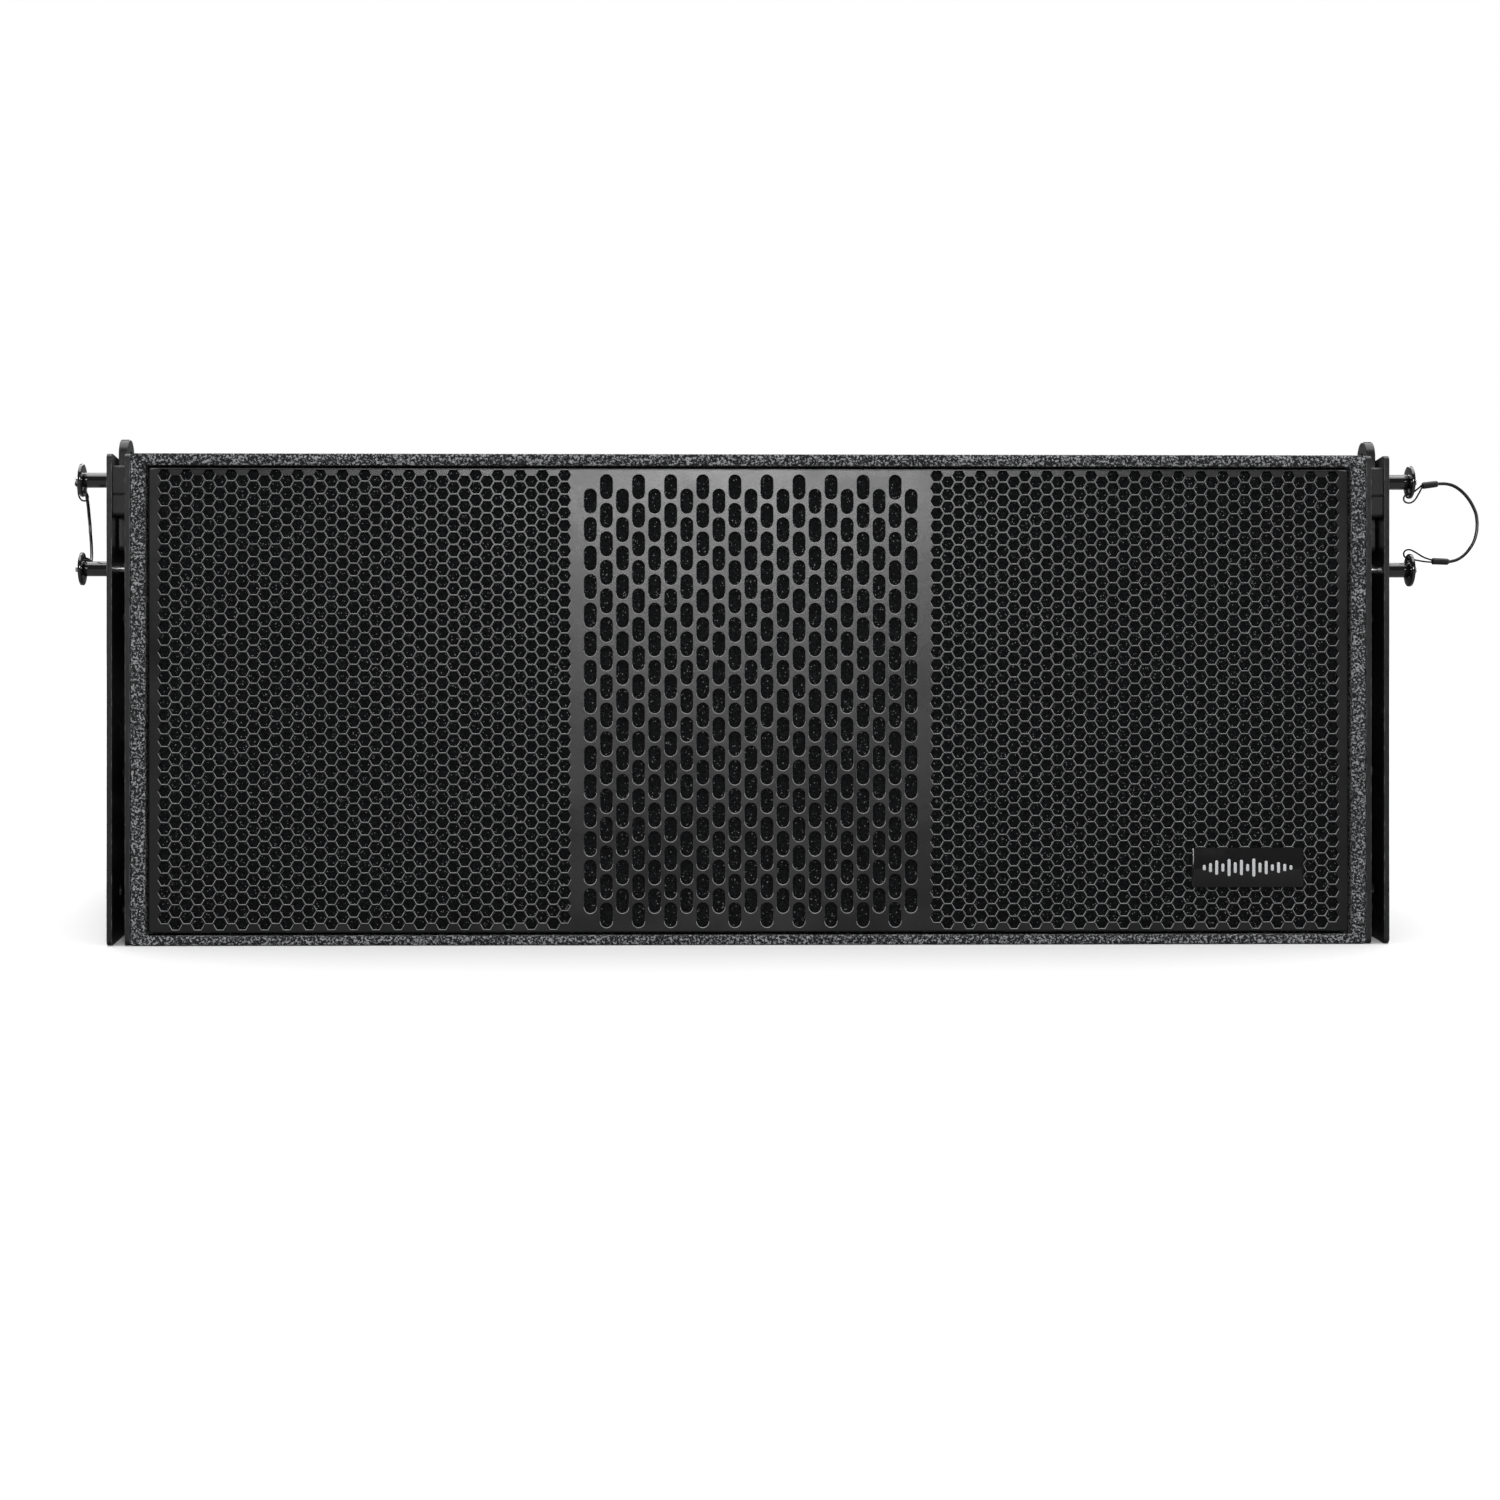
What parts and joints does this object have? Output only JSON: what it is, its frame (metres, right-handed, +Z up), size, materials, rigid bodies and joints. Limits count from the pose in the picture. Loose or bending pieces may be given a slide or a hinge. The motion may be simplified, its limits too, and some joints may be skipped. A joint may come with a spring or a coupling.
{
  "type": "line array speaker",
  "caption": "Wide wedge-shaped line array loudspeaker with a perforated steel grille and sliding rigging links, pins and lanyards on both sides.",
  "frame": {"origin": "middle of the flat bottom face, on the surface the cabinet stands on", "axes": "+X to the right seen from the front, +Y from the front to the back, +Z up; the front face leans back 5 degrees"},
  "size_m": [1.0778, 0.4771, 0.3789],
  "materials": {
    "textured_paint": "coarse textured black paint on plywood",
    "plywood": "bare birch plywood",
    "grille_coat": "satin black powder coat",
    "foam": "open-cell black foam",
    "badge": "black anodised",
    "rig_coat": "fine textured black powder coat",
    "link_steel": "satin black coated steel",
    "black_screw": "black oxide",
    "pin_coat": "gloss black",
    "button_steel": "bright steel",
    "lanyard_coat": "plastic-coated steel wire",
    "sleeve": "black crimp sleeve",
    "basket_metal": "black coated casting",
    "magnet": "coated ferrite and steel",
    "cone_paper": "doped paper",
    "coil_copper": "copper winding",
    "surround_rubber": "soft rubber edge",
    "spider_cloth": "impregnated cloth",
    "horn_plastic": "moulded black",
    "driver_metal": "black coated steel",
    "black_plastic": "moulded black",
    "socket_plastic": "dark blue-black moulded",
    "board": "glass-fibre board",
    "coil_enamel": "enamelled wire",
    "damping_felt": "grey polyester pad"
  },
  "bodies": {
    "cabinet": {"top_panel": "textured_paint", "bottom_panel": "textured_paint", "left_side_panel": "textured_paint", "right_side_panel": "textured_paint", "back_panel": "textured_paint", "baffle": "textured_paint", "braces": "plywood", "grille": "grille_coat", "grille_foam": "foam", "badge_plate": "badge", "left_basket": "basket_metal", "right_basket": "basket_metal", "left_magnet": "magnet", "right_magnet": "magnet", "woofer_surrounds": "surround_rubber", "woofer_spiders": "spider_cloth", "waveguide": "horn_plastic", "compression_drivers": "driver_metal", "driver_screws": "black_screw", "left_inner_plate": "rig_coat", "right_inner_plate": "rig_coat", "left_outer_plate": "rig_coat", "right_outer_plate": "rig_coat", "rig_spacers": "rig_coat", "rig_bolts": "black_screw", "plate_screws": "black_screw", "input_plate": "black_plastic", "input_sockets": "socket_plastic", "rear_handles": "black_plastic", "crossover_board": "board", "crossover_parts": "coil_enamel", "damping": "damping_felt"},
    "left_front_link": {"left_front_link": "link_steel"},
    "left_rear_link": {"left_rear_link": "link_steel"},
    "left_upper_pin": {"left_upper_pin": "pin_coat", "left_upper_lanyard": "lanyard_coat", "left_upper_sleeve": "sleeve"},
    "left_upper_button": {"left_upper_button": "button_steel"},
    "left_lower_pin": {"left_lower_pin": "pin_coat", "left_lower_lanyard": "lanyard_coat", "left_lower_sleeve": "sleeve"},
    "left_lower_button": {"left_lower_button": "button_steel"},
    "left_rear_pin": {"left_rear_pin": "pin_coat"},
    "left_rear_button": {"left_rear_button": "button_steel"},
    "left_cone": {"left_cone": "cone_paper", "left_voice_coil": "coil_copper"},
    "right_front_link": {"right_front_link": "link_steel"},
    "right_rear_link": {"right_rear_link": "link_steel"},
    "right_upper_pin": {"right_upper_pin": "pin_coat", "right_upper_lanyard": "lanyard_coat", "right_upper_sleeve": "sleeve"},
    "right_upper_button": {"right_upper_button": "button_steel"},
    "right_lower_pin": {"right_lower_pin": "pin_coat", "right_lower_lanyard": "lanyard_coat", "right_lower_sleeve": "sleeve"},
    "right_lower_button": {"right_lower_button": "button_steel"},
    "right_rear_pin": {"right_rear_pin": "pin_coat"},
    "right_rear_button": {"right_rear_button": "button_steel"},
    "right_cone": {"right_cone": "cone_paper", "right_voice_coil": "coil_copper"}
  },
  "joints": [
    {"name": "left_front_link_rise", "type": "slide", "parent": "cabinet", "child": "left_front_link", "axis": [0, 0.0872, 0.9962], "range_m": [0, 0.04]},
    {"name": "left_rear_link_rise", "type": "slide", "parent": "cabinet", "child": "left_rear_link", "axis": [0, 0.0872, 0.9962], "range_m": [0, 0.08]},
    {"name": "left_upper_pin_pull", "type": "slide", "parent": "cabinet", "child": "left_upper_pin", "axis": [-1, 0, 0], "range_m": [0, 0.03]},
    {"name": "left_upper_button_press", "type": "slide", "parent": "left_upper_pin", "child": "left_upper_button", "axis": [1, 0, 0], "range_m": [0, 0.002], "stiffness_N_per_m": 300},
    {"name": "left_lower_pin_pull", "type": "slide", "parent": "cabinet", "child": "left_lower_pin", "axis": [-1, 0, 0], "range_m": [0, 0.03]},
    {"name": "left_lower_button_press", "type": "slide", "parent": "left_lower_pin", "child": "left_lower_button", "axis": [1, 0, 0], "range_m": [0, 0.002], "stiffness_N_per_m": 300},
    {"name": "left_rear_pin_pull", "type": "slide", "parent": "cabinet", "child": "left_rear_pin", "axis": [-1, 0, 0], "range_m": [0, 0.03]},
    {"name": "left_rear_button_press", "type": "slide", "parent": "left_rear_pin", "child": "left_rear_button", "axis": [1, 0, 0], "range_m": [0, 0.002], "stiffness_N_per_m": 300},
    {"name": "left_cone_travel", "type": "slide", "parent": "cabinet", "child": "left_cone", "axis": [0, -0.9962, 0.0872], "range_m": [-0.006, 0.006], "stiffness_N_per_m": 3000},
    {"name": "right_front_link_rise", "type": "slide", "parent": "cabinet", "child": "right_front_link", "axis": [0, 0.0872, 0.9962], "range_m": [0, 0.04]},
    {"name": "right_rear_link_rise", "type": "slide", "parent": "cabinet", "child": "right_rear_link", "axis": [0, 0.0872, 0.9962], "range_m": [0, 0.08]},
    {"name": "right_upper_pin_pull", "type": "slide", "parent": "cabinet", "child": "right_upper_pin", "axis": [1, 0, 0], "range_m": [0, 0.03]},
    {"name": "right_upper_button_press", "type": "slide", "parent": "right_upper_pin", "child": "right_upper_button", "axis": [-1, 0, 0], "range_m": [0, 0.002], "stiffness_N_per_m": 300},
    {"name": "right_lower_pin_pull", "type": "slide", "parent": "cabinet", "child": "right_lower_pin", "axis": [1, 0, 0], "range_m": [0, 0.03]},
    {"name": "right_lower_button_press", "type": "slide", "parent": "right_lower_pin", "child": "right_lower_button", "axis": [-1, 0, 0], "range_m": [0, 0.002], "stiffness_N_per_m": 300},
    {"name": "right_rear_pin_pull", "type": "slide", "parent": "cabinet", "child": "right_rear_pin", "axis": [1, 0, 0], "range_m": [0, 0.03]},
    {"name": "right_rear_button_press", "type": "slide", "parent": "right_rear_pin", "child": "right_rear_button", "axis": [-1, 0, 0], "range_m": [0, 0.002], "stiffness_N_per_m": 300},
    {"name": "right_cone_travel", "type": "slide", "parent": "cabinet", "child": "right_cone", "axis": [0, -0.9962, 0.0872], "range_m": [-0.006, 0.006], "stiffness_N_per_m": 3000}
  ]
}
